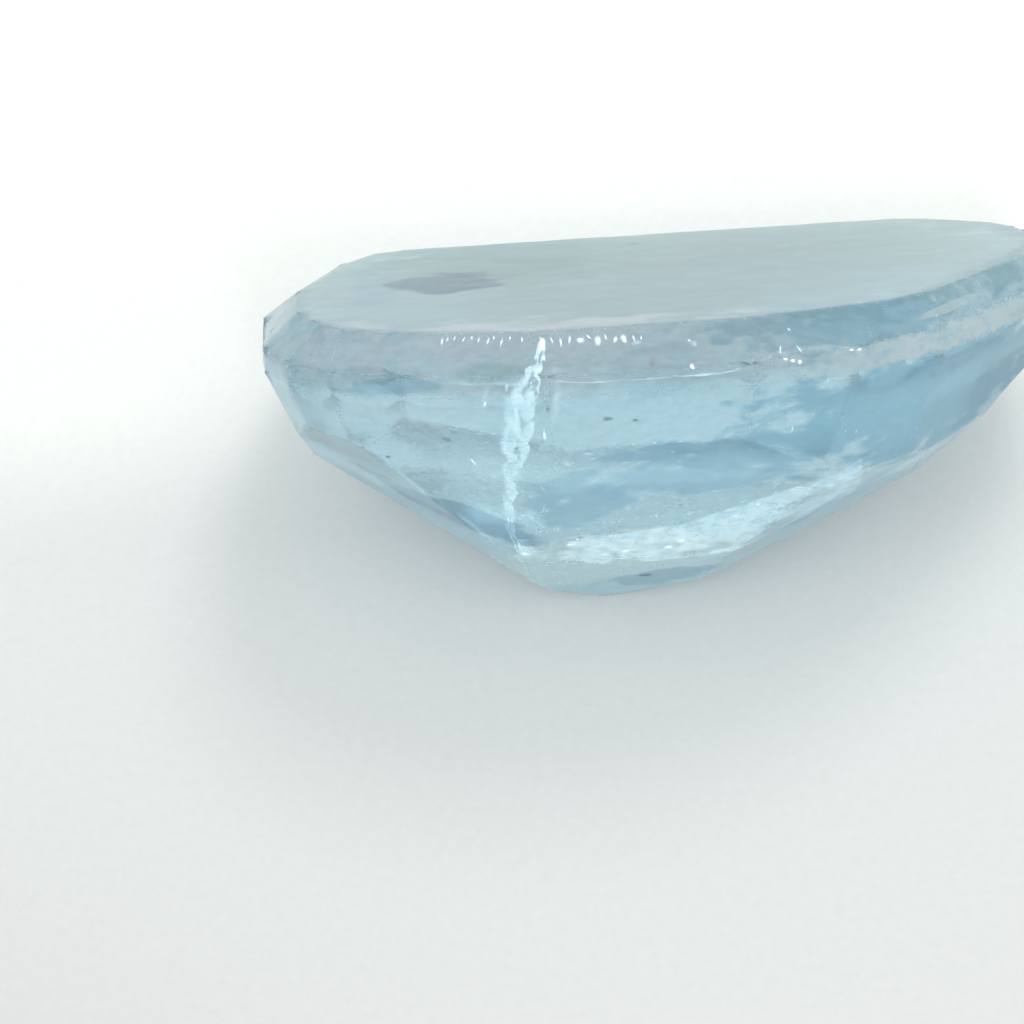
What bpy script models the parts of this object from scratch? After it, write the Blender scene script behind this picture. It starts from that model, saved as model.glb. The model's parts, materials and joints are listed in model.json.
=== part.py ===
"""A cut aquamarine: one clear stone with a flat table, a low crown, a girdle and a deep pavilion.

The stone is an irregular cushion, cut by hand and a little lopsided. It is made as a lapidary makes it:
a block of crystal is ground flat, one facet after another, until only the stone is left. Each facet is
given as a cutter's notes give it, by the direction it faces, its slope and how far from the axis it lies.

The stone is cut with its table up, its length along X and the middle of its girdle at height 0. It is then
laid over on its far main facet, as a loose stone comes to rest, and moved so that the middle of the
footprint of its box is at the origin. All sizes are in millimetres until the last step.
"""

import math

import bmesh
import bpy
from mathutils import Matrix, Vector

MM = 0.001

# Driving dimensions
TABLE_HEIGHT = 0.78  # the table, above the middle of the girdle
GIRDLE_THICKNESS = 0.40
CULET_DEPTH = 4.96  # the lowest point, below the middle of the girdle
CULET_OFFSET = -1.16  # along the length, from the middle of the table: the keel is off centre
FAR_MAIN_SLOPE = 40.0  # degrees: the stone rests on this facet, so its table leans back by as much
BLOCK_SIDE = 40.0  # the rough block that the facets are ground into
MERGE_DISTANCE = 0.004  # corners closer than this are one corner

# One line for each side of the plan, going round from the right-hand end. The direction is in degrees,
# counter-clockwise from +X. The reaches are the distances from the axis to the girdle and to the edge of
# the table. The break slope is that of the pavilion's first facet, just under the girdle.
#   direction, girdle reach, table reach, break slope
SIDES = (
    (0, 7.20, 6.75, 68),
    (20, 7.50, 7.08, 66),
    (40, 7.15, 6.70, 62),
    (56, 6.45, 5.97, 62),
    (74, 5.50, 5.00, 62),
    (90, 4.78, 3.90, 62),
    (106, 5.42, 4.95, 62),
    (124, 6.35, 5.93, 62),
    (142, 6.90, 6.18, 64),
    (160, 7.05, 6.20, 66),
    (180, 7.00, 6.33, 66),
    (199, 6.99, 6.30, 66),
    (219, 6.60, 5.95, 64),
    (237, 5.95, 5.20, 62),
    (254, 5.20, 4.35, 62),
    (270, 4.78, 3.84, 62),
    (286, 4.95, 4.10, 62),
    (306, 5.26, 4.80, 61),
    (322, 5.58, 5.22, 63),
    (336, 6.35, 6.05, 66),
)

# The pavilion's other main facets. Each passes at this reach from the axis, at this depth below mid-girdle.
#   direction, slope, reach, depth
MAINS = (
    (122, 43.0, 4.88, 1.60),
    (66, 42.0, 4.75, 1.70),
    (0, 40.0, 5.93, 1.78),
    (328, 40.0, 4.85, 2.10),
    (302, 43.0, 4.45, 1.85),
    (270, 44.0, 4.20, 1.25),
    (250, 48.2, 4.63, 1.25),
)

# The low facets along the keel, which runs lengthwise under the stone.
KEEL_FACETS = (
    (0, 27.0, 3.50, 3.48),
    (50, 33.0, 0.51, 4.64),
    (314, 33.0, 0.56, 4.68),
    (148, 40.0, 2.31, 4.64),
    (215, 41.0, 2.32, 4.53),
    (180, 34.5, 4.07, 3.42),
)

# The last facets, which all meet at the culet. The far main facet, which the stone rests on, is the first.
#   direction, slope
CULET_FACETS = (
    (90, FAR_MAIN_SLOPE),
    (270, 36.0),
    (180, 13.0),
    (0, 9.8),
)


def facet_normal(direction, slope, side):
    """The way a facet faces: side is 1 on the crown, -1 on the pavilion. A slope of 90 is upright."""
    turn, tilt = math.radians(direction), math.radians(slope)
    return Vector((
        math.sin(tilt) * math.cos(turn),
        math.sin(tilt) * math.sin(turn),
        side * math.cos(tilt),
    ))


def point_at(direction, reach, height):
    turn = math.radians(direction)
    return Vector((reach * math.cos(turn), reach * math.sin(turn), height))


def grind(stone, point, normal):
    """Takes away what lies beyond the plane, and closes the cut with one flat facet."""
    everything = stone.verts[:] + stone.edges[:] + stone.faces[:]
    bmesh.ops.bisect_plane(
        stone, geom=everything, plane_co=point, plane_no=normal, clear_outer=True
    )
    rim = [edge for edge in stone.edges if edge.is_boundary]
    if rim:
        bmesh.ops.edgeloop_fill(stone, edges=rim)


def grind_crown_and_girdle(stone):
    half_girdle = GIRDLE_THICKNESS / 2
    crown_height = TABLE_HEIGHT - half_girdle
    grind(stone, (0, 0, TABLE_HEIGHT), (0, 0, 1))
    for direction, girdle_reach, table_reach, break_slope in SIDES:
        crown_slope = math.degrees(math.atan2(crown_height, girdle_reach - table_reach))
        upper_edge = point_at(direction, girdle_reach, half_girdle)
        lower_edge = point_at(direction, girdle_reach, -half_girdle)
        grind(stone, upper_edge, facet_normal(direction, 90, 1))
        grind(stone, upper_edge, facet_normal(direction, crown_slope, 1))
        grind(stone, lower_edge, facet_normal(direction, break_slope, -1))


def grind_pavilion(stone):
    for direction, slope, reach, depth in MAINS + KEEL_FACETS:
        grind(stone, point_at(direction, reach, -depth), facet_normal(direction, slope, -1))
    culet = (CULET_OFFSET, 0, -CULET_DEPTH)
    for direction, slope in CULET_FACETS:
        grind(stone, culet, facet_normal(direction, slope, -1))


def lay_on_far_main(stone):
    """Turns the stone on to its far main facet and puts the middle of its box's footprint at the origin."""
    turn = Matrix.Rotation(-math.radians(FAR_MAIN_SLOPE), 3, "X")
    bmesh.ops.rotate(stone, cent=(0, 0, 0), matrix=turn, verts=stone.verts)
    xs, ys, zs = zip(*(corner.co for corner in stone.verts))
    middle = ((min(xs) + max(xs)) / 2, (min(ys) + max(ys)) / 2, min(zs))
    bmesh.ops.translate(stone, vec=-Vector(middle), verts=stone.verts)


def aquamarine_material():
    material = bpy.data.materials.new("clear_pale_aquamarine")
    material.use_nodes = True
    shader = material.node_tree.nodes["Principled BSDF"]
    shader.inputs["Base Color"].default_value = (0.49, 0.68, 0.76, 1)
    shader.inputs["Roughness"].default_value = 0.04
    shader.inputs["Metallic"].default_value = 0.0
    shader.inputs["IOR"].default_value = 1.577
    shader.inputs["Transmission Weight"].default_value = 1.0
    return material


def aquamarine_crystal():
    stone = bmesh.new()
    bmesh.ops.create_cube(stone, size=BLOCK_SIDE)
    grind_crown_and_girdle(stone)
    grind_pavilion(stone)
    bmesh.ops.remove_doubles(stone, verts=stone.verts, dist=MERGE_DISTANCE)
    bmesh.ops.dissolve_degenerate(stone, dist=MERGE_DISTANCE, edges=stone.edges)
    lay_on_far_main(stone)
    bmesh.ops.scale(stone, vec=(MM, MM, MM), verts=stone.verts)
    bmesh.ops.recalc_face_normals(stone, faces=stone.faces)
    mesh = bpy.data.meshes.new("aquamarine_crystal")
    stone.to_mesh(mesh)
    stone.free()
    mesh.materials.append(aquamarine_material())
    crystal = bpy.data.objects.new("aquamarine_crystal", mesh)
    bpy.context.scene.collection.objects.link(crystal)
    return crystal


for old in list(bpy.data.objects):
    bpy.data.objects.remove(old)

crystal = aquamarine_crystal()
size_mm = ", ".join(f"{side / MM:.2f}" for side in crystal.dimensions)
print(f"{crystal.name}: {len(crystal.data.polygons)} facets, {size_mm} mm")
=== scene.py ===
# %% [markdown]
# # A cut aquamarine on white paper
# This lesson dresses one clear, pale blue stone. Its solid comes from the frame, already at its real size
# and lying as a loose stone lies. The looks come from four things: worn facets, glass that absorbs a little
# red, the small flaws that grew inside the crystal, and soft light from behind.

# %% Load the frame
import json
import math
import random

import bmesh
import bpy
import numpy as np
from mathutils import Euler, Matrix, Vector, noise
from mathutils.bvhtree import BVHTree


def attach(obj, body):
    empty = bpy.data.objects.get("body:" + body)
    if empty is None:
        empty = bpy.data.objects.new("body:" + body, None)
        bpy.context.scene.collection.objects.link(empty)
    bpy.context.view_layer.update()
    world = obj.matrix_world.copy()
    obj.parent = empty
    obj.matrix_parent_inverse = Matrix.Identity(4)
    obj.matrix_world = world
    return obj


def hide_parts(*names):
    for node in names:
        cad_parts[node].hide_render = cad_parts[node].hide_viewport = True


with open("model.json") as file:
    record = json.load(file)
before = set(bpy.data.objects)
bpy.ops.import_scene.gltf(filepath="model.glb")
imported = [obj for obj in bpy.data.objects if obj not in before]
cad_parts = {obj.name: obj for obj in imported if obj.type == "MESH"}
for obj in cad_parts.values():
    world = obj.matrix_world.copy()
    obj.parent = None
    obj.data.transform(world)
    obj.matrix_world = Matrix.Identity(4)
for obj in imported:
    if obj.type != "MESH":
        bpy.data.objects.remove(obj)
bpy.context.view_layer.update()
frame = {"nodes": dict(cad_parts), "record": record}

MM = 0.001
solid = frame["nodes"]["aquamarine_crystal"]

# %% [markdown]
# ## Where the stone's own directions point
# A cutter thinks of a stone with its table up. Here it lies over on a pavilion facet, so its table leans
# back. The record's table mount says which way the table faces, and every flaw below is placed in the
# stone's own frame: x along its length, y across it, z out of the table, with the middle of the girdle at
# the origin.

# %% The stone's own frame
table_mount = next(m for m in frame["record"]["mounts"] if m["name"] == "table")
TABLE_NORMAL = Vector(table_mount["axis"]).normalized()
LENGTH_AXIS = Vector((1, 0, 0))
WIDTH_AXIS = TABLE_NORMAL.cross(LENGTH_AXIS).normalized()
GIRDLE_MIDDLE = Vector((-0.10, 0.098, 3.817)) * MM  # its height is what the stone's tilt leaves it
STONE_AXES = np.array((LENGTH_AXIS, WIDTH_AXIS, TABLE_NORMAL))


def in_stone(x, y, z):
    """A point given in millimetres in the stone's own frame, as a place in the scene."""
    return GIRDLE_MIDDLE + MM * (x * LENGTH_AXIS + y * WIDTH_AXIS + z * TABLE_NORMAL)


print("table faces", [round(v, 3) for v in TABLE_NORMAL])

# %% [markdown]
# ## Camera
# A stone this small is shot from close by with a long lens, so that its facets keep their true shapes. The
# camera looks down on the near side and the table, and is swung a little so that the stone lies off centre.

# %% Camera
CAMERA_DISTANCE = 0.100
CAMERA_ELEVATION = math.radians(52.2)
CAMERA_TURN = math.radians(4.68)
CAMERA_LENS = 199.4
NEAREST_SEEN = 0.005
SWING_LEFT, SWING_DOWN = math.radians(1.485), math.radians(1.936)

towards_camera = Vector((
    -math.cos(CAMERA_ELEVATION) * math.sin(CAMERA_TURN),
    -math.cos(CAMERA_ELEVATION) * math.cos(CAMERA_TURN),
    math.sin(CAMERA_ELEVATION),
))
camera = bpy.data.objects.new("camera", bpy.data.cameras.new("camera"))
camera.data.lens = CAMERA_LENS
camera.data.clip_start = NEAREST_SEEN
aim = (-towards_camera).to_track_quat("-Z", "Y").to_matrix()
swing = Euler((-SWING_DOWN, SWING_LEFT, 0)).to_matrix()
camera.matrix_world = Matrix.LocRotScale(
    GIRDLE_MIDDLE + CAMERA_DISTANCE * towards_camera, (aim @ swing).to_quaternion(), None
)
bpy.context.scene.collection.objects.link(camera)
bpy.context.scene.camera = camera
print("camera", CAMERA_DISTANCE, "m from the stone, with a", CAMERA_LENS, "mm lens")

# %% [markdown]
# ## Daylight from behind
# Most of the light comes from the whole room, so the shadow stays pale and its border wide. A window behind
# and above the stone adds the rest. A smaller, stronger lamp would give the same shadow a hard border and
# put mirror-bright patches on the facets, which a loose stone on a desk doesn't show. A clear stone also
# gathers light and throws it on the paper at its foot. That takes very long to trace, so a weak spot in
# front of the stone stands in for it and lifts the shadow there. Neither lamp is mirrored in the facets.

# %% Light
ROOM_COLOUR = (0.97, 1.0, 0.99, 1)
WINDOW_PLACE, WINDOW_WIDTH, WINDOW_POWER = Vector((0.056, 0.098, 0.186)), 0.085, 0.085
GLOW_PLACE, GLOW_WIDTH, GLOW_POWER = Vector((0.006, -0.060, 0.050)), 0.012, 0.11
GLOW_AIM, GLOW_CONE = Vector((0.001, -0.002, 0)), math.radians(14.5)

world = bpy.data.worlds.new("soft_room")
world.use_nodes = True
bpy.context.scene.world = world
world.cycles.sampling_method = "NONE"
world.node_tree.nodes["Background"].inputs["Color"].default_value = ROOM_COLOUR
world.node_tree.nodes["Background"].inputs["Strength"].default_value = 1.0


def add_lamp(name, kind, power, place, aim):
    """A lamp turned towards a place. It lights the stone and the paper but isn't mirrored in them."""
    lamp = bpy.data.objects.new(name, bpy.data.lights.new(name, kind))
    lamp.data.energy = power
    lamp.visible_glossy = False
    lamp.location = place
    lamp.rotation_euler = (aim - place).to_track_quat("-Z", "Y").to_euler()
    bpy.context.scene.collection.objects.link(lamp)
    return lamp.data


window = add_lamp("window_light", "AREA", WINDOW_POWER, WINDOW_PLACE, Vector((0, 0, 0)))
window.shape = "DISK"
window.size = WINDOW_WIDTH
foot_glow = add_lamp("foot_glow", "SPOT", GLOW_POWER, GLOW_PLACE, GLOW_AIM)
foot_glow.shadow_soft_size = GLOW_WIDTH
foot_glow.spot_size = GLOW_CONE
foot_glow.spot_blend = 1.0

bpy.context.scene.view_settings.view_transform = "Standard"
cycles = bpy.context.scene.cycles
cycles.max_bounces = 5
cycles.diffuse_bounces = 2
cycles.glossy_bounces = 4
cycles.transmission_bounces = 5
cycles.transparent_max_bounces = 8
print("window", round(WINDOW_PLACE.length, 3), "m away,", WINDOW_POWER, "W")

# %% [markdown]
# ## Helpers for node groups
# Every finish below is built from a few shared groups of nodes. These helpers keep that short: one makes an
# empty group, one adds a node with its inputs already filled in, and one places a group in a material. The
# others are the four nodes used most: a sum, a sum on vectors, a change of range and a mix of two colours.

# %% Helpers for node groups
def new_group(name, inputs, outputs):
    """An empty shader group with named sockets. An input is a name, a socket type and a start value."""
    group = bpy.data.node_groups.new(name, "ShaderNodeTree")
    for socket_name, kind, value in inputs:
        socket = group.interface.new_socket(socket_name, in_out="INPUT", socket_type=kind)
        if value is not None:
            socket.default_value = value
    for socket_name, kind in outputs:
        group.interface.new_socket(socket_name, in_out="OUTPUT", socket_type=kind)
    print("group", name, "gives", ", ".join(socket_name for socket_name, _ in outputs))
    return group, group.nodes.new("NodeGroupInput"), group.nodes.new("NodeGroupOutput")


def add_node(tree, kind, inputs=(), **settings):
    """A node with its settings, and with its inputs linked to a socket or set to a plain value."""
    node = tree.nodes.new(kind)
    for name, value in settings.items():
        setattr(node, name, value)
    sockets = {socket.identifier: socket for socket in node.inputs}
    for name, value in dict(inputs).items():
        socket = node.inputs[name] if isinstance(name, int) else sockets.get(name) or node.inputs[name]
        if isinstance(value, bpy.types.NodeSocket):
            tree.links.new(value, socket)
        else:
            socket.default_value = value
    return node


def place_group(tree, group, **values):
    node = add_node(tree, "ShaderNodeGroup", node_tree=group)
    for name, value in values.items():
        name = name.replace("_", " ")
        if isinstance(value, bpy.types.NodeSocket):
            tree.links.new(value, node.inputs[name])
        else:
            node.inputs[name].default_value = value
    return node


def calculate(tree, operation, *values):
    """What one sum gives, on sockets or plain numbers."""
    return add_node(tree, "ShaderNodeMath", enumerate(values), operation=operation).outputs[0]


def calculate_vector(tree, operation, *values):
    """The same on vectors. A length and a dot product come out as a number."""
    node = add_node(tree, "ShaderNodeVectorMath", enumerate(values), operation=operation)
    return node.outputs["Value" if operation in ("LENGTH", "DOT_PRODUCT") else "Vector"]


def remap(tree, value, old, new=(0.0, 1.0), **settings):
    """A value moved from its old range to a new one, and held at the new one's ends."""
    ranges = {"Value": value, "From Min": old[0], "From Max": old[1], "To Min": new[0], "To Max": new[1]}
    return add_node(tree, "ShaderNodeMapRange", ranges, **settings).outputs[0]


def mix_colours(tree, share, first, second):
    """The first colour where the share is 0 and the second where it is 1."""
    colours = {"Factor_Float": share, "A_Color": first, "B_Color": second}
    return add_node(tree, "ShaderNodeMix", colours, data_type="RGBA").outputs[2]


print("helpers ready for", bpy.app.version_string)

# %% [markdown]
# ## The sheet of paper
# The stone lies on a sheet of white paper. Its colour is painted palest under the window and darker towards
# the camera: painted light that stands in for the window's light falling off across the sheet. Paper is never
# one flat white:
# its fibres give it a faint grain, in its colour and in its surface. Both come from one noise.

# %% White paper
# painted light and shade: the paper's colour is darker near the camera and palest under the window
PAPER_PAINTED_SHADE_NEAR, PAPER_MIDDLE = (0.700, 0.703, 0.693, 1), (0.742, 0.750, 0.750, 1)
PAPER_PAINTED_WINDOW_LIGHT = (0.885, 0.895, 0.875, 1)
PALER_FROM, PALEST_AT = -12 * MM, 6 * MM  # along Y, towards the window
MIDDLE_STOP, PALEST_STOP = 0.58, 0.80
SHEET_SIZE, SHEET_DROP = 1.2, 0.03 * MM

paper = bpy.data.materials.new("white_paper")
paper.use_nodes = True
tree = paper.node_tree
sheet_surface = tree.nodes["Principled BSDF"]
place = add_node(tree, "ShaderNodeTexCoord").outputs["Object"]
along_y = add_node(tree, "ShaderNodeSeparateXYZ", {0: place}).outputs["Y"]
# painted light: this ramp makes the paper paler towards the window instead of a lamp doing it
painted_light_falloff = add_node(tree, "ShaderNodeValToRGB", {0: remap(tree, along_y, (PALER_FROM, PALEST_AT))})
painted_light_falloff.color_ramp.interpolation = "EASE"
painted_light_falloff.color_ramp.elements[0].color = PAPER_PAINTED_SHADE_NEAR
painted_light_falloff.color_ramp.elements[1].color = PAPER_PAINTED_WINDOW_LIGHT
painted_light_falloff.color_ramp.elements[1].position = PALEST_STOP
painted_light_falloff.color_ramp.elements.new(MIDDLE_STOP).color = PAPER_MIDDLE
fibres = add_node(
    tree, "ShaderNodeTexNoise", {"Vector": place, "Scale": 5200.0, "Detail": 3.0, "Roughness": 0.7}
).outputs["Fac"]
grain = remap(tree, fibres, (0.3, 0.7), (0.975, 1.015))
grained = calculate_vector(tree, "MULTIPLY", painted_light_falloff.outputs["Color"], grain)
relief = add_node(tree, "ShaderNodeBump", {"Height": fibres, "Strength": 0.25, "Distance": 0.02 * MM})
tree.links.new(grained, sheet_surface.inputs["Base Color"])
tree.links.new(relief.outputs[0], sheet_surface.inputs["Normal"])
sheet_surface.inputs["Roughness"].default_value = 0.9
sheet_surface.inputs["Specular IOR Level"].default_value = 0.2

bpy.ops.mesh.primitive_plane_add(size=SHEET_SIZE)
floor = bpy.context.object
floor.name = "paper_floor"
floor.location.z = -SHEET_DROP
floor.data.materials.append(paper)
print("paper", floor.dimensions.x, "m wide")

# %% [markdown]
# ## Facets with worn edges
# Each facet was ground flat on a wheel, and since then the edges between them have rubbed and chipped. A
# bevel would round every edge alike. Here the stone is described instead as everything that lies behind all
# of its facet planes. Near an edge the two planes are blended over a width that wanders, as wear does, and
# small shells are knocked out where the edges took a blow. A fine mesh is then pulled on to that surface.

# %% The facet planes
SAME_CORNER, SAME_FACET = 0.002 * MM, math.radians(0.4)

facets = bmesh.new()
facets.from_mesh(solid.data)
bmesh.ops.remove_doubles(facets, verts=facets.verts, dist=SAME_CORNER)
bmesh.ops.dissolve_limit(facets, angle_limit=SAME_FACET, verts=facets.verts, edges=facets.edges)
facets.normal_update()
FACET_NORMALS = np.array([facet.normal for facet in facets.faces])
FACET_REACHES = np.array([facet.normal.dot(facet.calc_center_median()) for facet in facets.faces])
GIRDLE_FACETS = np.array([abs(facet.normal.dot(TABLE_NORMAL)) < 0.01 for facet in facets.faces])
print(len(facets.faces), "facets,", len(facets.edges), "edges between them")

# %% Chips along the edges
CHIP_EVERY = 1.5 * MM  # at most one chip for this much of an edge, and mostly fewer

random.seed(14)
CHIPS = []
for edge in facets.edges:
    start, end = (corner.co for corner in edge.verts)
    outward = (edge.link_faces[0].normal + edge.link_faces[1].normal).normalized()
    for _ in range(int(edge.calc_length() / CHIP_EVERY * random.random() + 0.3)):
        radius = random.uniform(0.05, 0.16) * MM
        bite = random.uniform(0.008, 0.022) * MM
        place = start.lerp(end, random.random()) + outward * (radius - bite)
        CHIPS.append((*place, radius))
CHIPS = np.array(CHIPS)
print(len(CHIPS), "chips")

# %% The worn surface
WEAR_WIDTH, WEAR_PATCH, GRIT_PATCH = 0.15 * MM, 0.9 * MM, 0.12 * MM
GIRDLE_RUB = 1.5  # the girdle sticks out furthest, so its edges are rubbed this much wider again
WAVE_HEIGHT, WAVE_LENGTH = 0.0009 * MM, 1.9 * MM
wave_rng = np.random.default_rng(5)
WAVES = wave_rng.normal(size=(9, 3))
WAVES *= (2 * math.pi / WAVE_LENGTH * wave_rng.uniform(0.6, 1.6, 9) / np.linalg.norm(WAVES, axis=1))[:, None]
WAVE_STARTS = wave_rng.uniform(0, 2 * math.pi, 9)


def nearest_facets(points):
    """The two facets that stand out least behind each point: their numbers and how far the point is out."""
    reach = points @ FACET_NORMALS.T - FACET_REACHES
    order = np.argsort(reach, axis=1)
    rows = np.arange(len(points))
    first, second = order[:, -1], order[:, -2]
    turn = np.linalg.norm(np.cross(FACET_NORMALS[first], FACET_NORMALS[second]), axis=1)
    return first, second, reach[rows, first], reach[rows, second], turn


def edge_distance(points):
    """How far each point on the surface is from the nearest edge between facets."""
    _, _, out_first, out_second, turn = nearest_facets(points)
    return (out_first - out_second) / turn


def worn_surface(points):
    """How far each point stands out of the worn stone, and the way the surface faces there."""
    first, second, out_first, out_second, turn = nearest_facets(points)
    patches = np.array([noise.noise(Vector(p) / WEAR_PATCH) for p in points])
    grit = np.array([noise.noise(Vector(p) / GRIT_PATCH) for p in points])
    girdle_edge = np.maximum(GIRDLE_FACETS[first], GIRDLE_FACETS[second])
    width = WEAR_WIDTH * (1 + GIRDLE_RUB * girdle_edge) * np.clip(0.8 + 0.6 * patches + 0.04 * grit, 0.25, 2)
    blend = width * turn
    share = np.clip(1 - (out_first - out_second) / blend, 0, 1)
    out = out_first + blend * share**2 / 4
    facing = FACET_NORMALS[first] * (1 - share / 2)[:, None] + FACET_NORMALS[second] * (share / 2)[:, None]
    phase = points @ WAVES.T + WAVE_STARTS
    out = out + WAVE_HEIGHT * (3 + np.sin(phase).sum(axis=1) / 3)
    facing = facing + WAVE_HEIGHT * np.cos(phase) @ WAVES / 3
    for *place, radius in CHIPS:
        away = points - place
        distance = np.linalg.norm(away, axis=1)
        inside = radius - distance > out
        out[inside] = (radius - distance)[inside]
        facing[inside] = -away[inside] / distance[inside, None]
    return out, facing / np.linalg.norm(facing, axis=1)[:, None]


print("edges worn over", WEAR_WIDTH / MM, "mm, waves up to", WAVE_HEIGHT / MM, "mm high")

# %% A mesh that is fine at the edges and coarse inside the facets
FINE, COARSE = 0.045 * MM, 0.34 * MM
COARSENING = 0.55  # how much longer a triangle's side may be for each step away from an edge
MOST_PASSES, PULLS = 12, 3

bmesh.ops.triangulate(facets, faces=facets.faces, quad_method="BEAUTY", ngon_method="BEAUTY")
for _ in range(MOST_PASSES):
    ends = np.array([[corner.co[:] for corner in edge.verts] for edge in facets.edges])
    length = np.linalg.norm(ends[:, 0] - ends[:, 1], axis=1)
    wanted = np.clip(FINE + COARSENING * edge_distance(ends.mean(axis=1)), FINE, COARSE)
    facets.edges.ensure_lookup_table()
    too_long = [facets.edges[i] for i in np.flatnonzero(length > 1.4 * wanted)]
    if not too_long:
        break
    bmesh.ops.subdivide_edges(facets, edges=too_long, cuts=1)
    bmesh.ops.triangulate(facets, faces=facets.faces, quad_method="BEAUTY", ngon_method="BEAUTY")
mesh = bpy.data.meshes.new("polished_stone")
facets.to_mesh(mesh)
points = np.array([corner.co for corner in mesh.vertices])
for _ in range(PULLS):
    out, facing = worn_surface(points)
    points -= np.maximum(out, -0.05 * MM)[:, None] * facing
mesh.vertices.foreach_set("co", points.ravel())
mesh.update()
print(len(mesh.vertices), "points,", len(mesh.polygons), "triangles")

# %% Shading and the marks the finish reads
mesh.shade_smooth()
mesh.normals_split_custom_set_from_vertices(worn_surface(points)[1])
distances = np.clip(edge_distance(points) / MM, 0, 5)
mesh.attributes.new("edge_distance", "FLOAT", "POINT").data.foreach_set("value", distances)
stone = bpy.data.objects.new("polished_stone", mesh)
bpy.context.scene.collection.objects.link(stone)
print("points are up to", round(distances.max(), 2), "mm away from an edge")

# %% [markdown]
# ## A ruler inside the shaders
# Every mark on the stone belongs to a place on it: the girdle is frosted, one end is a deeper blue. The
# group below turns a point of the scene into millimetres in the stone's own frame, so that the finishes can
# be laid out with the same numbers as the flaws.

# %% Group: stone ruler
stone_ruler, group_in, group_out = new_group(
    "stone_ruler", [("Place", "NodeSocketVector", None)], [("Stone mm", "NodeSocketVector")]
)
offset = calculate_vector(stone_ruler, "SUBTRACT", group_in.outputs["Place"], GIRDLE_MIDDLE)
ruler_parts = add_node(stone_ruler, "ShaderNodeCombineXYZ")
for i, axis in enumerate(STONE_AXES):
    along = calculate_vector(stone_ruler, "DOT_PRODUCT", offset, axis / MM)
    stone_ruler.links.new(along, ruler_parts.inputs[i])
stone_ruler.links.new(ruler_parts.outputs[0], group_out.inputs["Stone mm"])

# %% [markdown]
# ## What the surface went through
# Three marks are shared by all that is glass here: the fine waves and scratches that polishing left, the
# worn edges, which no longer shine, and the girdle, which a cutter leaves ground and frosted. Each is a
# group that gives out a mask from 0 to 1, so that the material alone decides what the mark does to its
# colour and gloss.

# %% Group: edge wear
edge_wear, group_in, group_out = new_group(
    "edge_wear",
    [
        ("Stone mm", "NodeSocketVector", None),
        ("Distance mm", "NodeSocketFloat", 1.0),
        ("Width mm", "NodeSocketFloat", 0.06),
        ("Patch mm", "NodeSocketFloat", 0.5),
    ],
    [("Worn", "NodeSocketFloat")],
)
per_mm = calculate(edge_wear, "DIVIDE", 1.0, group_in.outputs["Patch mm"])
patch = add_node(
    edge_wear, "ShaderNodeTexNoise",
    {"Vector": group_in.outputs["Stone mm"], "Scale": per_mm, "Detail": 3.0, "Roughness": 0.7},
)
reach = calculate(edge_wear, "MULTIPLY", patch.outputs["Fac"], group_in.outputs["Width mm"])
reach = calculate(edge_wear, "MULTIPLY", reach, 2.0)
worn = remap(
    edge_wear, group_in.outputs["Distance mm"], (0.0, reach), (1.0, 0.0), interpolation_type="SMOOTHSTEP"
)
edge_wear.links.new(worn, group_out.inputs["Worn"])

# %% Group: frosted girdle
frosted_girdle, group_in, group_out = new_group(
    "frosted_girdle",
    [
        ("Stone mm", "NodeSocketVector", None),
        ("Half height mm", "NodeSocketFloat", 0.2),
        ("Starts mm", "NodeSocketFloat", 0.9),
        ("Grain", "NodeSocketFloat", 0.5),
    ],
    [("Frost", "NodeSocketFloat")],
)
stone_parts = add_node(frosted_girdle, "ShaderNodeSeparateXYZ", {0: group_in.outputs["Stone mm"]})
grain = group_in.outputs["Grain"]
away = calculate(frosted_girdle, "ABSOLUTE", stone_parts.outputs["Z"])
uneven = calculate(frosted_girdle, "MULTIPLY_ADD", grain, -0.20, 0.10)
reach = calculate(frosted_girdle, "ADD", away, uneven)
rim = calculate(frosted_girdle, "SUBTRACT", group_in.outputs["Half height mm"], reach)
band = remap(frosted_girdle, rim, (-0.05, 0.05))
along = calculate(frosted_girdle, "SUBTRACT", stone_parts.outputs["X"], group_in.outputs["Starts mm"])
ground = remap(frosted_girdle, along, (0.0, 3.0), (0.03, 1.0))
patches = remap(frosted_girdle, grain, (0.35, 0.60), (0.6, 1.0))
frost = calculate(frosted_girdle, "MULTIPLY", band, ground)
frost = calculate(frosted_girdle, "MULTIPLY", frost, patches)
frosted_girdle.links.new(frost, group_out.inputs["Frost"])

# %% Group: polish marks
polish_marks, group_in, group_out = new_group(
    "polish_marks",
    [
        ("Stone mm", "NodeSocketVector", None),
        ("Wave mm", "NodeSocketFloat", 1.0),
        ("Clouds", "NodeSocketFloat", 0.5),
    ],
    [("Haze", "NodeSocketFloat"), ("Waves", "NodeSocketFloat")],
)
per_mm = calculate(polish_marks, "DIVIDE", 1.0, group_in.outputs["Wave mm"])
waves = add_node(
    polish_marks, "ShaderNodeTexNoise",
    {"Vector": group_in.outputs["Stone mm"], "Scale": per_mm, "Detail": 1.5, "Roughness": 0.5},
)
haze = remap(polish_marks, group_in.outputs["Clouds"], (0.35, 0.7))
polish_marks.links.new(haze, group_out.inputs["Haze"])
polish_marks.links.new(waves.outputs["Fac"], group_out.inputs["Waves"])
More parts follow.
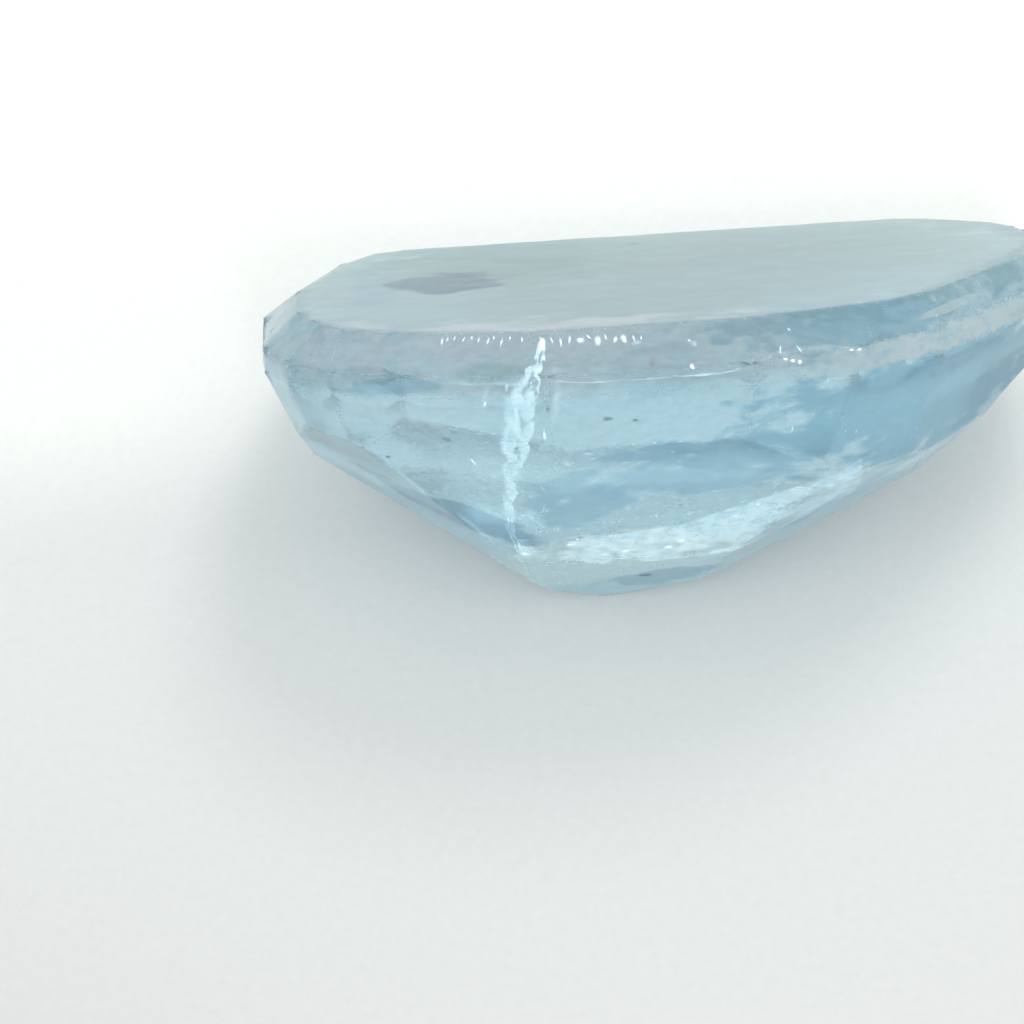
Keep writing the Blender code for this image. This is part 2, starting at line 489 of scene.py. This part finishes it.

# %% [markdown]
# ## Zones of colour and of painted light and shade
# Beryl takes up its colour while it grows, so a stone is rarely one even blue. Here the blue gathers in one
# end and runs out of it in streaks. Other zones paint light and shade into the glass's colour: the part
# under the table is painted greyer, as the shaded paper beneath shows through it, and the milky places
# are painted light. One zone is an ellipsoid in the stone's own millimetres that may slant along
# the stone, with its border broken up by noise. The group makes one zone, and the glass places it once for
# each line of the table. All zones share one noise for their borders, and a finer one mottles the whole
# stone a little.

# %% Group: cloudy growth
cloudy_growth, group_in, group_out = new_group(
    "cloudy_growth",
    [("Stone mm", "NodeSocketVector", None)],
    [("Border", "NodeSocketFloat"), ("Mottle", "NodeSocketFloat")],
)
stretched = calculate_vector(cloudy_growth, "MULTIPLY", group_in.outputs["Stone mm"], (0.75, 1.0, 1.5))
clouds = add_node(
    cloudy_growth, "ShaderNodeTexNoise", {"Vector": stretched, "Scale": 1.7, "Detail": 3.0, "Roughness": 0.55}
)
mottling = add_node(
    cloudy_growth, "ShaderNodeTexNoise", {"Vector": stretched, "Scale": 5.0, "Detail": 2.0, "Roughness": 0.7}
)
border = calculate(cloudy_growth, "MULTIPLY_ADD", clouds.outputs["Fac"], 2.0, -1.0)
cloudy_growth.links.new(border, group_out.inputs["Border"])
cloudy_growth.links.new(mottling.outputs["Fac"], group_out.inputs["Mottle"])

# %% Group: colour and painted light zone
colour_and_painted_light_zone, group_in, group_out = new_group(
    "colour_and_painted_light_zone",
    [
        ("Stone mm", "NodeSocketVector", None),
        ("Middle mm", "NodeSocketVector", (0, 0, 0)),
        ("Reach mm", "NodeSocketVector", (1, 1, 1)),
        ("Slope", "NodeSocketVector", (0, 0, 0)),
        ("Strength", "NodeSocketFloat", 1.0),
        ("Border", "NodeSocketFloat", 0.0),
    ],
    [("Zone", "NodeSocketFloat")],
)
offset = calculate_vector(
    colour_and_painted_light_zone, "SUBTRACT", group_in.outputs["Stone mm"], group_in.outputs["Middle mm"]
)
scaled = calculate_vector(colour_and_painted_light_zone, "DIVIDE", offset, group_in.outputs["Reach mm"])
rise = calculate_vector(colour_and_painted_light_zone, "DOT_PRODUCT", offset, group_in.outputs["Slope"])
slanted = calculate_vector(colour_and_painted_light_zone, "MULTIPLY_ADD", rise, (0, 0, -1), scaled)
away = calculate_vector(colour_and_painted_light_zone, "LENGTH", slanted)
broken = calculate(colour_and_painted_light_zone, "ADD", away, group_in.outputs["Border"])
zone = remap(
    colour_and_painted_light_zone, broken, (0.76, 1.12), (group_in.outputs["Strength"], 0.0), interpolation_type="SMOOTHSTEP"
)
colour_and_painted_light_zone.links.new(zone, group_out.inputs["Zone"])

# %% [markdown]
# ## The glass
# The stone is see-through: it bends light as beryl does and takes a little red out of it on the way. A
# fifth to a third of the light is scattered instead, by haze too fine to model, which is why the stone
# looks soft and milky and not like window glass.

# %% Glass: marks on its surface
glass = bpy.data.materials.new("aquamarine")
glass.use_nodes = True
tree = glass.node_tree
stone_surface = tree.nodes["Principled BSDF"]
place = add_node(tree, "ShaderNodeTexCoord")
ruler = place_group(tree, stone_ruler, Place=place.outputs["Object"]).outputs[0]
nearness_node = add_node(tree, "ShaderNodeAttribute", attribute_name="edge_distance")
worn_mask = place_group(
    tree, edge_wear, Stone_mm=ruler, Distance_mm=nearness_node.outputs["Fac"], Width_mm=0.05
).outputs["Worn"]
growth = place_group(tree, cloudy_growth, Stone_mm=ruler)
girdle = place_group(tree, frosted_girdle, Stone_mm=ruler, Grain=growth.outputs["Mottle"])
polish = place_group(tree, polish_marks, Stone_mm=ruler, Wave_mm=0.9, Clouds=growth.outputs["Mottle"])
print("marks on the glass read", len(tree.nodes), "nodes")

# %% Glass: its colours
BODY_COLOUR = (0.67, 0.87, 0.95, 1)
FROST_COLOUR = (0.94, 1.0, 1.0, 1)
DEEP = (0.28, 0.53, 0.68, 1)
PAINTED_SHADE_GREY, BLUISH, SLATE = (0.41, 0.61, 0.64, 1), (0.42, 0.66, 0.74, 1), (0.28, 0.50, 0.52, 1)
MILKY_PAINTED_LIGHT, PALE_BLUE, ROSY = (0.87, 0.99, 1.0, 1), (0.80, 0.94, 1.0, 1), (0.86, 0.93, 1.0, 1)
SMOKY, INKY = (0.06, 0.20, 0.32, 1), (0.20, 0.36, 0.50, 1)
#   middle in mm, reach in mm, rise towards +x in degrees, strength, colour
COLOUR_AND_PAINTED_LIGHT_ZONES = (
    # seen through the table, painted shade: the paper lying in the stone's shadow shows through it greyer
    ((0.0, 0.8, 0.80), (9.0, 6.0, 0.45), 0, 1.0, PAINTED_SHADE_GREY),
    ((-0.8, -1.6, 0.80), (7.5, 2.3, 0.5), 0, 0.75, BLUISH),
    ((-2.9, 2.3, 0.80), (2.1, 2.0, 0.5), 0, 0.85, SLATE),
    ((-4.6, -0.8, 0.80), (2.0, 2.6, 0.5), 0, 0.60, BLUISH),
    ((-4.9, 0.75, 0.78), (0.50, 1.8, 0.5), 0, 0.65, DEEP),
    ((-3.75, 0.60, 0.78), (1.05, 0.9, 0.5), 0, 1.0, SMOKY),
    # along the near crown and the girdle
    ((-1.9, -4.2, 0.42), (4.3, 1.4, 0.55), 0, 0.90, PALE_BLUE),
    ((-3.0, -3.9, 0.68), (2.6, 1.2, 0.24), 0, 0.70, ROSY),
    ((-0.35, -4.6, 0.15), (0.85, 0.7, 0.60), 0, 0.22, DEEP),
    ((-3.05, -4.4, 0.24), (0.62, 0.6, 0.17), 0, 0.30, SLATE),
    # the pale end
    ((-5.05, -3.7, 0.06), (1.05, 1.1, 0.26), 0, 0.60, DEEP),
    ((-4.5, -3.9, -0.45), (1.3, 1.1, 0.36), 0, 0.50, PALE_BLUE),
    ((-5.6, -3.0, 0.45), (1.0, 1.3, 0.55), 0, 0.60, ROSY),
    ((-3.7, -1.9, -2.79), (1.55, 1.4, 0.28), -24, 0.75, INKY),  # a sliver along its foot
    # the blue end
    ((4.8, -2.6, -1.02), (3.8, 4.5, 1.24), 3, 0.95, DEEP),  # below the girdle
    ((3.3, -3.6, 0.53), (2.4, 1.6, 0.38), 0, 0.56, DEEP),  # on the crown
    ((1.4, -3.9, -1.55), (2.2, 1.2, 0.44), -2, 0.75, DEEP),  # a streak towards the middle
    ((2.9, -1.6, -3.10), (1.9, 1.2, 0.14), 30, 0.7, DEEP),  # along its lower edge
    ((4.85, -2.5, 0.46), (0.85, 1.1, 0.07), 3, 0.80, MILKY_PAINTED_LIGHT),
    # around the keel, where the milky zones are painted light
    ((0.1, -3.2, -2.10), (1.9, 1.2, 0.32), 0, 0.60, DEEP),
    ((-1.75, -3.1, -2.45), (1.00, 1.1, 0.72), 4, 0.55, DEEP),
    ((-0.9, -1.45, -3.92), (2.7, 1.4, 0.76), 5, 0.90, MILKY_PAINTED_LIGHT),
    ((1.75, -2.5, -2.80), (1.4, 0.9, 0.24), 27, 0.38, MILKY_PAINTED_LIGHT),
    ((-0.26, -0.7, -4.48), (1.10, 0.6, 0.20), 7, 0.55, INKY),
)
body_colour = BODY_COLOUR
# each zone mixes its colour into the glass's tint; the grey zones under the table and the milky zones are
# painted shade and painted light
for middle, reach, rise, strength, zone_colour in COLOUR_AND_PAINTED_LIGHT_ZONES:
    slope = math.tan(math.radians(rise))
    zone = place_group(
        tree, colour_and_painted_light_zone, Stone_mm=ruler, Middle_mm=middle, Reach_mm=reach, Slope=(slope / reach[2], 0, 0),
        Strength=strength, Border=growth.outputs["Border"],
    )
    body_colour = mix_colours(tree, zone.outputs[0], body_colour, zone_colour)
mottle = remap(tree, growth.outputs["Mottle"], (0.3, 0.7), (0.90, 1.06))
mottled = calculate_vector(tree, "MULTIPLY", body_colour, mottle)
tint = mix_colours(tree, girdle.outputs["Frost"], mottled, FROST_COLOUR)
tree.links.new(tint, stone_surface.inputs["Base Color"])
print(len(COLOUR_AND_PAINTED_LIGHT_ZONES), "zones of colour")

# %% Glass: its gloss and what it does to light
POLISHED, HAZE_ADDS, WEAR_ADDS, FROST_ADDS = 0.17, 0.08, 0.06, 0.5
BERYL_IOR = 1.577
SEE_THROUGH = 0.70
BLUE_LEFT, ABSORPTION = (0.30, 0.68, 0.82, 1), 66.0

rough = calculate(tree, "MULTIPLY_ADD", polish.outputs["Haze"], HAZE_ADDS, POLISHED)
rough = calculate(tree, "MULTIPLY_ADD", worn_mask, WEAR_ADDS, rough)
rough = calculate(tree, "MULTIPLY_ADD", girdle.outputs["Frost"], FROST_ADDS, rough)
tree.links.new(rough, stone_surface.inputs["Roughness"])
bump = add_node(
    tree, "ShaderNodeBump", {"Height": polish.outputs["Waves"], "Strength": 1.0, "Distance": 0.024 * MM}
)
tree.links.new(bump.outputs[0], stone_surface.inputs["Normal"])
stone_surface.inputs["IOR"].default_value = BERYL_IOR
stone_surface.inputs["Transmission Weight"].default_value = SEE_THROUGH
absorb = add_node(tree, "ShaderNodeVolumeAbsorption", {"Color": BLUE_LEFT, "Density": ABSORPTION})
tree.links.new(absorb.outputs["Volume"], tree.nodes["Material Output"].inputs["Volume"])
mesh.materials.append(glass)
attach(stone, "root")
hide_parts("aquamarine_crystal")
print(stone.name, "is", SEE_THROUGH, "see-through, IOR", BERYL_IOR)

# %% [markdown]
# ## Flaws that grew inside
# A crack that opened while the crystal grew was healed again by the same hot water, which left a veil of
# droplets behind. Seen from outside it is a torn, whitish sheet. It could be painted on the surface, but
# then it would not shift as the stone turns. Here each one is a real sheet inside the glass: a fine grid,
# laid where the crack runs, eaten away by noise and closed all round with a thin wall. Each corner of the
# grid remembers how closely the droplets are packed there, so that the veil thins out towards its torn
# border.

# %% Places inside the stone
solid_tree = BVHTree.FromPolygons(
    [corner.co[:] for corner in solid.data.vertices], [tuple(f.vertices) for f in solid.data.polygons]
)
INWARD = (0.12 * LENGTH_AXIS + 0.97 * WIDTH_AXIS + 0.12 * TABLE_NORMAL).normalized()
OUTSIDE = -20  # mm across, well in front of the near side


def near_facet(x, z):
    """The place on the stone's near side at x and z in its own frame, and the way its facet faces."""
    return solid_tree.ray_cast(in_stone(x, OUTSIDE, z), WIDTH_AXIS)[:2]


def near_side(x, z, depth):
    """A place so many millimetres inside the near side at x and z."""
    return near_facet(x, z)[0] + depth * MM * INWARD


def along_line(stops, share):
    """A point on a bent line through the stops, at a share from 0 to 1 of its steps."""
    step = min(int(share * (len(stops) - 1)), len(stops) - 2)
    return stops[step].lerp(stops[step + 1], share * (len(stops) - 1) - step)


print("keel reaches", round(near_side(0, -3.5, 0).z / MM, 2), "mm above the paper at x = 0")

# %% Helpers for flaws
SOFT_RIM = 0.28  # how much of the noise the torn border fades over
SINK_DEPTH = 0.03 * MM  # every flaw stays at least this far inside the facets


def keep_inside(shape):
    """Pushes back under the facets every corner that would stick out of the glass."""
    places = np.array([corner.co for corner in shape.verts])
    rows = np.arange(len(places))
    for _ in range(4):
        reach = places @ FACET_NORMALS.T - FACET_REACHES
        nearest = reach.argmax(axis=1)
        out = np.maximum(reach[rows, nearest] + SINK_DEPTH, 0)
        places -= out[:, None] * FACET_NORMALS[nearest]
    for corner, place in zip(shape.verts, places):
        corner.co = place


def finish_piece(name, shape, material):
    keep_inside(shape)
    piece_mesh = bpy.data.meshes.new(name)
    shape.to_mesh(piece_mesh)
    shape.free()
    piece_mesh.shade_smooth()
    piece_mesh.materials.append(material)
    piece = bpy.data.objects.new(name, piece_mesh)
    bpy.context.scene.collection.objects.link(piece)
    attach(piece, "root")
    print(name, "has", len(piece_mesh.polygons), "faces")


def ragged_sheet(place, columns, rows, packing, thickness):
    """A crinkled sheet, torn away where its packing is below 0, and closed all round."""
    grid = [[place(i / columns, j / rows) for j in range(rows + 1)] for i in range(columns + 1)]
    kept = {
        (i, j) for i in range(columns) for j in range(rows)
        if packing((i + 0.5) / columns, (j + 0.5) / rows) > 0
    }
    sheet, corners = bmesh.new(), {}
    packed = sheet.verts.layers.float.new("packing")

    def corner(i, j, side):
        if (i, j, side) not in corners:
            along = grid[min(i + 1, columns)][j] - grid[max(i - 1, 0)][j]
            across = grid[i][min(j + 1, rows)] - grid[i][max(j - 1, 0)]
            lift = along.cross(across).normalized() * side * thickness / 2
            vertex = sheet.verts.new(grid[i][j] + lift)
            vertex[packed] = min(max(packing(i / columns, j / rows) / SOFT_RIM, 0), 1)
            corners[i, j, side] = vertex
        return corners[i, j, side]

    for i, j in sorted(kept):
        ring = ((i, j), (i + 1, j), (i + 1, j + 1), (i, j + 1))
        sheet.faces.new([corner(*c, 1) for c in ring])
        sheet.faces.new([corner(*c, -1) for c in reversed(ring)])
        for k, (di, dj) in enumerate(((0, -1), (1, 0), (0, 1), (-1, 0))):
            if (i + di, j + dj) not in kept:
                a, b = ring[k], ring[(k + 1) % 4]
                sheet.faces.new([corner(*b, 1), corner(*a, 1), corner(*a, -1), corner(*b, -1)])
    bmesh.ops.recalc_face_normals(sheet, faces=sheet.faces)
    return sheet


def torn(u, v, stretch, seed):
    """Noise over a sheet, with its middle kept more often than its borders."""
    rim = min(u, 1 - u, v, 1 - v)
    cloud = noise.fractal(Vector((u * stretch[0], v * stretch[1], seed)), 0.7, 2.1, 5)
    return cloud + 1.2 * min(rim, 0.25)


print("every flaw stays", SINK_DEPTH / MM, "mm under the facets")

# %% Material: veil of droplets
def veil_material(name, dull, bright, clear, dense, painted_glow):
    """White and slightly see-through, in clouds: droplets are packed closer in some places than in others.
    Its colour also glows, painted light that stands in for the light the flaw scatters.
    """
    material = bpy.data.materials.new(name)
    material.use_nodes = True
    tree = material.node_tree
    surface = tree.nodes["Principled BSDF"]
    place = add_node(tree, "ShaderNodeTexCoord")
    ruler = place_group(tree, stone_ruler, Place=place.outputs["Object"]).outputs[0]
    droplets = add_node(
        tree, "ShaderNodeTexNoise", {"Vector": ruler, "Scale": 4.0, "Detail": 4.0, "Roughness": 0.65}
    )
    cloud = remap(tree, droplets.outputs["Fac"], (0.36, 0.62))
    colour = mix_colours(tree, cloud, dull, bright)
    cover = remap(tree, cloud, (0.0, 1.0), (clear, dense))
    packing = add_node(tree, "ShaderNodeAttribute", attribute_name="packing")
    alpha = calculate(tree, "MULTIPLY", cover, packing.outputs["Fac"])
    tree.links.new(colour, surface.inputs["Base Color"])
    # painted light: the flaw glows with its own colour instead of scattering the light that reaches it
    tree.links.new(colour, surface.inputs["Emission Color"])
    tree.links.new(alpha, surface.inputs["Alpha"])
    surface.inputs["Roughness"].default_value = 0.5
    surface.inputs["Emission Strength"].default_value = painted_glow
    return material


VEIL_DULL, VEIL_BRIGHT, WISP_BRIGHT = (0.62, 0.84, 0.95, 1), (0.88, 1.0, 1.0, 1), (0.84, 0.97, 1.0, 1)
FLAKE_DULL, FLAKE_BRIGHT = (0.90, 0.97, 1.0, 1), (1.0, 1.0, 1.0, 1)
# each veil also glows at its given strength, painted light; the flakes glow most, as painted glints
healed = veil_material("healed_crack", VEIL_DULL, VEIL_BRIGHT, clear=0.45, dense=0.95, painted_glow=0.52)
wisp = veil_material("faint_wisp", VEIL_DULL, WISP_BRIGHT, clear=0.25, dense=0.62, painted_glow=0.44)
flake = veil_material("painted_glint_flake", FLAKE_DULL, FLAKE_BRIGHT, clear=0.75, dense=1.0, painted_glow=0.85)
print("veils:", ", ".join(veil.name for veil in (healed, wisp, flake)))

# %% [markdown]
# ## The healed crack across the stone
# The crack runs down the near side from the table's edge to the keel and leans into the stone. It is narrow
# on the crown and widest just under the girdle.

# %% The healed crack
#   height z, near edge x, far edge x, how deep the far edge lies
CRACK = (
    (0.62, -2.16, -2.28, 0.25),
    (0.42, -2.20, -2.36, 0.30),
    (0.22, -2.28, -2.44, 0.35),
    (0.02, -2.32, -2.56, 0.45),
    (-0.20, -2.36, -2.80, 0.80),
    (-0.50, -2.40, -2.92, 1.00),
    (-0.85, -2.44, -2.96, 1.05),
    (-1.22, -2.55, -2.97, 0.95),
    (-1.68, -2.67, -2.94, 0.70),
    (-2.14, -2.77, -2.96, 0.60),
    (-2.49, -2.82, -2.98, 0.50),
    (-2.85, -2.84, -2.98, 0.45),
    (-3.20, -2.78, -2.90, 0.35),
    (-3.60, -2.69, -2.78, 0.25),
)
crack_near = [near_side(x, z, 0.05) for z, x, _, _ in CRACK]
crack_far = [near_side(x, z, depth) for z, _, x, depth in CRACK]


def crack_place(u, v):
    place = along_line(crack_near, u).lerp(along_line(crack_far, u), v)
    crinkle = noise.noise(place / (0.35 * MM)) * 0.05 + noise.noise(place / (0.09 * MM)) * 0.02
    return place + crinkle * MM * LENGTH_AXIS


crack = ragged_sheet(crack_place, 190, 26, lambda u, v: torn(u, v, (15, 3), 3.1) + 0.10, 0.02 * MM)
finish_piece("healed_crack", crack, healed)

# %% [markdown]
# ## The feather along the keel
# A second, fainter veil lies flat along the keel, where two stages of growth met.

# %% The feather
#   x along the stone, upper z, lower z
FEATHER = (
    (-2.75, -3.30, -3.85),
    (-1.95, -3.28, -3.90),
    (-0.98, -3.30, -4.02),
    (0.07, -3.15, -4.00),
    (1.10, -2.80, -3.85),
    (2.10, -2.42, -3.50),
    (3.18, -2.05, -3.00),
)
feather_top = [near_side(x, z, 0.12) for x, z, _ in FEATHER]
feather_foot = [near_side(x, z, 0.30) for x, _, z in FEATHER]


def feather_place(u, v):
    place = along_line(feather_top, u).lerp(along_line(feather_foot, u), v)
    return place + noise.noise(place / (0.3 * MM)) * 0.05 * MM * WIDTH_AXIS


feather = ragged_sheet(feather_place, 170, 26, lambda u, v: torn(u, v, (5, 2.5), 8.4) + 0.12, 0.015 * MM)
finish_piece("keel_feather", feather, wisp)

# %% [markdown]
# ## Flakes and wisps
# Along the table's edge the stone took a row of blows, and each left a small cleavage. Their glints are
# painted light: each flake glows white of itself instead of mirroring a lamp. Single flakes and larger,
# duller wisps lie elsewhere, and glow more faintly. Each is a thin lens with a ragged rim, and it lies just
# under a facet and nearly along it, where the blow that split it was struck.

# %% Flakes with painted glints
RIM_CORNERS, RAGGEDNESS = 9, (0.72, 1.12)
STRETCH = 1.3  # a lens is this much longer up its facet than its row says
CROWN_TOP = 0.74  # mm, just under the table, above which no lens reaches


def add_lens(shape, middle, facing, upright, width, height, thickness):
    """A small flat lens with a ragged outline, as a cleavage flake has."""
    packed = shape.verts.layers.float.get("packing") or shape.verts.layers.float.new("packing")
    side = upright.cross(facing).normalized()
    upright = facing.cross(side).normalized()
    rim = []
    for i in range(RIM_CORNERS):
        turn = 2 * math.pi * i / RIM_CORNERS
        reach = side * math.cos(turn) * width + upright * math.sin(turn) * height
        rim.append(shape.verts.new(middle + random.uniform(*RAGGEDNESS) * reach / 2))
    front = shape.verts.new(middle + facing * thickness / 2)
    back = shape.verts.new(middle - facing * thickness / 2)
    front[packed] = back[packed] = 1.0
    for i in range(RIM_CORNERS):
        a, b = rim[i], rim[(i + 1) % RIM_CORNERS]
        shape.faces.new((a, b, front))
        shape.faces.new((b, a, back))


def lenses(rows, seed, depth, thickness):
    """One lens for each row: x, z, width, height and lean, in mm and degrees."""
    random.seed(seed)
    shape = bmesh.new()
    for x, z, width, height, lean in rows:
        scatter = Vector((random.gauss(0, 1), random.gauss(0, 1), random.gauss(0, 1)))
        level = min(z, CROWN_TOP - height / 2)
        facing = (near_facet(x, level)[1] + 0.1 * scatter).normalized()
        upright = Matrix.Rotation(math.radians(lean), 3, facing) @ TABLE_NORMAL
        place = near_side(x, level, depth)
        add_lens(shape, place, facing, upright, width * MM, STRETCH * height * MM, thickness * MM)
    bmesh.ops.recalc_face_normals(shape, faces=shape.faces)
    return shape


#   x, z, width, height, lean
FLAKES = (
    # the row along the table's edge, faint at first
    (-3.89, 0.74, 0.05, 0.20, 0), (-3.79, 0.74, 0.04, 0.13, 5), (-3.67, 0.74, 0.05, 0.11, 0),
    (-3.52, 0.74, 0.04, 0.14, -8), (-3.38, 0.74, 0.04, 0.09, 0), (-3.27, 0.74, 0.04, 0.15, 6),
    (-3.11, 0.74, 0.05, 0.17, 0), (-3.01, 0.74, 0.04, 0.10, 0), (-2.89, 0.74, 0.05, 0.22, -5),
    (-2.74, 0.74, 0.04, 0.11, 0), (-2.54, 0.74, 0.04, 0.14, 10),
    # and bright past the crack
    (-2.21, 0.70, 0.15, 0.26, 0), (-2.04, 0.70, 0.04, 0.19, 12), (-1.89, 0.72, 0.05, 0.26, 0),
    (-1.74, 0.66, 0.07, 0.20, -20), (-1.55, 0.62, 0.19, 0.14, 0), (-1.42, 0.66, 0.05, 0.14, 25),
    (-1.27, 0.62, 0.16, 0.28, 0), (-1.13, 0.64, 0.05, 0.14, 0), (-0.97, 0.60, 0.09, 0.15, -15),
    (-0.83, 0.61, 0.15, 0.22, 0), (-0.66, 0.61, 0.05, 0.18, 8), (-0.53, 0.60, 0.05, 0.13, 0),
    # beside the crack
    (-2.26, -0.92, 0.07, 0.26, 0), (-2.33, -1.20, 0.04, 0.12, 0), (-3.48, -1.52, 0.06, 0.24, 6),
    (-3.24, -0.30, 0.06, 0.15, -20), (-2.20, 0.42, 0.06, 0.16, 0),
    # on the crown and the girdle towards the blue end
    (0.27, 0.20, 0.09, 0.20, 8), (0.27, 0.53, 0.08, 0.07, 0), (1.98, 0.56, 0.08, 0.07, 0),
    (1.79, 0.32, 0.05, 0.20, 0), (1.85, 0.19, 0.11, 0.05, -20), (1.98, 0.14, 0.11, 0.05, -10),
    (2.10, 0.10, 0.09, 0.07, 0), (2.11, 0.30, 0.04, 0.18, 15), (3.01, 0.20, 0.10, 0.09, 0),
    (3.15, 0.18, 0.08, 0.05, 0), (3.09, -1.43, 0.04, 0.12, 0), (2.89, -1.37, 0.03, 0.08, 0),
    (1.95, -1.16, 0.03, 0.20, 0), (2.57, -0.30, 0.03, 0.14, 0), (4.81, -0.82, 0.08, 0.03, 0),
    # on the keel
    (-2.66, -3.66, 0.16, 0.12, 0), (-1.86, -3.49, 0.17, 0.08, 10), (-1.73, -3.37, 0.07, 0.08, 0),
    (-1.24, -3.78, 0.18, 0.05, 0), (-0.89, -3.74, 0.26, 0.06, 5), (-0.14, -3.71, 0.23, 0.12, 12),
    (0.10, -3.57, 0.22, 0.09, 10), (1.41, -2.81, 0.07, 0.11, 0),
    # chips along the edge at its left
    (-3.19, -3.92, 0.12, 0.05, -30), (-3.06, -4.05, 0.16, 0.06, -35), (-2.92, -4.17, 0.08, 0.05, -30),
)
# these flakes glow white: painted glints
finish_piece("painted_glint_flakes", lenses(FLAKES, seed=21, depth=0.035, thickness=0.02), flake)

# %% Wisps
#   x, z, width, height, lean
WISPS = (
    (-1.96, -2.42, 0.34, 0.52, -35), (-2.32, -2.10, 0.16, 0.34, 10), (-2.26, -2.62, 0.18, 0.30, -15),
    (-2.10, -3.05, 0.40, 0.20, 20), (-1.55, -1.35, 0.36, 0.14, 0), (-0.90, -1.60, 0.30, 0.12, -10),
    (-2.05, -0.30, 0.20, 0.75, -6), (-2.02, 0.22, 0.24, 0.34, 8), (-1.90, -1.55, 0.28, 0.40, 25),
    (-3.12, -1.84, 0.12, 0.44, 30), (-2.98, -1.66, 0.07, 0.34, -55), (-3.22, -0.12, 0.07, 0.30, -25),
    (-3.30, -0.42, 0.08, 0.16, 10), (-2.86, -0.02, 0.08, 0.18, 0), (-2.92, -2.05, 0.10, 0.40, 12),
    (0.20, -1.52, 0.30, 0.16, 10), (0.02, -1.66, 0.16, 0.14, -20), (-0.10, -1.42, 0.14, 0.12, 0),
    (2.45, -2.20, 0.50, 0.14, 12), (3.05, -2.10, 0.34, 0.12, 20), (1.95, -2.62, 0.60, 0.12, 14),
    (1.10, -3.10, 0.80, 0.14, 12), (-3.30, -2.30, 0.10, 0.30, 40), (3.10, 0.16, 0.34, 0.16, 10),
    (0.34, 0.46, 0.16, 0.16, 0), (-0.62, 0.52, 0.24, 0.18, 0),
)
finish_piece("pale_wisps", lenses(WISPS, seed=4, depth=0.09, thickness=0.03), wisp)

# %% [markdown]
# ## Dark specks
# A few grains of another mineral were caught in the crystal as it grew. They are lumps a tenth of a
# millimetre across, most of them just under the near side and two under the table.

# %% Material: dark mineral
mineral = bpy.data.materials.new("dark_mineral")
mineral.use_nodes = True
tree = mineral.node_tree
grain_surface = tree.nodes["Principled BSDF"]
place = add_node(tree, "ShaderNodeTexCoord")
ruler = place_group(tree, stone_ruler, Place=place.outputs["Object"]).outputs[0]
lumps = add_node(
    tree, "ShaderNodeTexNoise", {"Vector": ruler, "Scale": 22.0, "Detail": 5.0, "Roughness": 0.7}
)
grain_colour = mix_colours(tree, lumps.outputs["Fac"], (0.01, 0.05, 0.10, 1), (0.05, 0.15, 0.22, 1))
grain_gloss = remap(tree, lumps.outputs["Fac"], (0.0, 1.0), (0.25, 0.65))
tree.links.new(grain_colour, grain_surface.inputs["Base Color"])
tree.links.new(grain_gloss, grain_surface.inputs["Roughness"])
print(mineral.name, "is made of", len(tree.nodes), "nodes")

# %% Dark specks
#   x, y or None for just under the near side, z, width, height, all in mm
SPECKS = (
    (-0.40, None, 0.26, 0.11, 0.18), (-3.90, None, -1.03, 0.16, 0.11), (-4.92, None, -1.44, 0.09, 0.07),
    (-1.34, 1.06, 0.70, 0.08, 0.09), (-0.22, 3.15, 0.70, 0.12, 0.07), (-1.20, None, -0.67, 0.18, 0.07),
    (-0.73, None, -0.73, 0.10, 0.06), (-2.20, None, -0.40, 0.08, 0.07), (-0.53, None, -4.41, 0.24, 0.06),
    (-2.02, None, 0.18, 0.08, 0.09), (0.05, None, -2.69, 0.05, 0.08), (-4.38, None, 0.20, 0.05, 0.05),
)
SPECK_DEPTH = 0.15
LUMPINESS, LUMPS_PER_MM = 0.35, 3.4

specks = bmesh.new()
for x, y, z, width, height in SPECKS:
    middle = near_side(x, z, SPECK_DEPTH) if y is None else in_stone(x, y, z)
    across = Matrix((width * LENGTH_AXIS, width * WIDTH_AXIS, height * TABLE_NORMAL)).transposed()
    grown = bmesh.ops.create_icosphere(specks, subdivisions=2, radius=0.5 * MM)["verts"]
    for corner in grown:
        lump = 1 + LUMPINESS * noise.noise(corner.co / MM * LUMPS_PER_MM + Vector((x, z, 0)) * 9)
        corner.co = middle + across @ corner.co * lump
finish_piece("mineral_specks", specks, mineral)
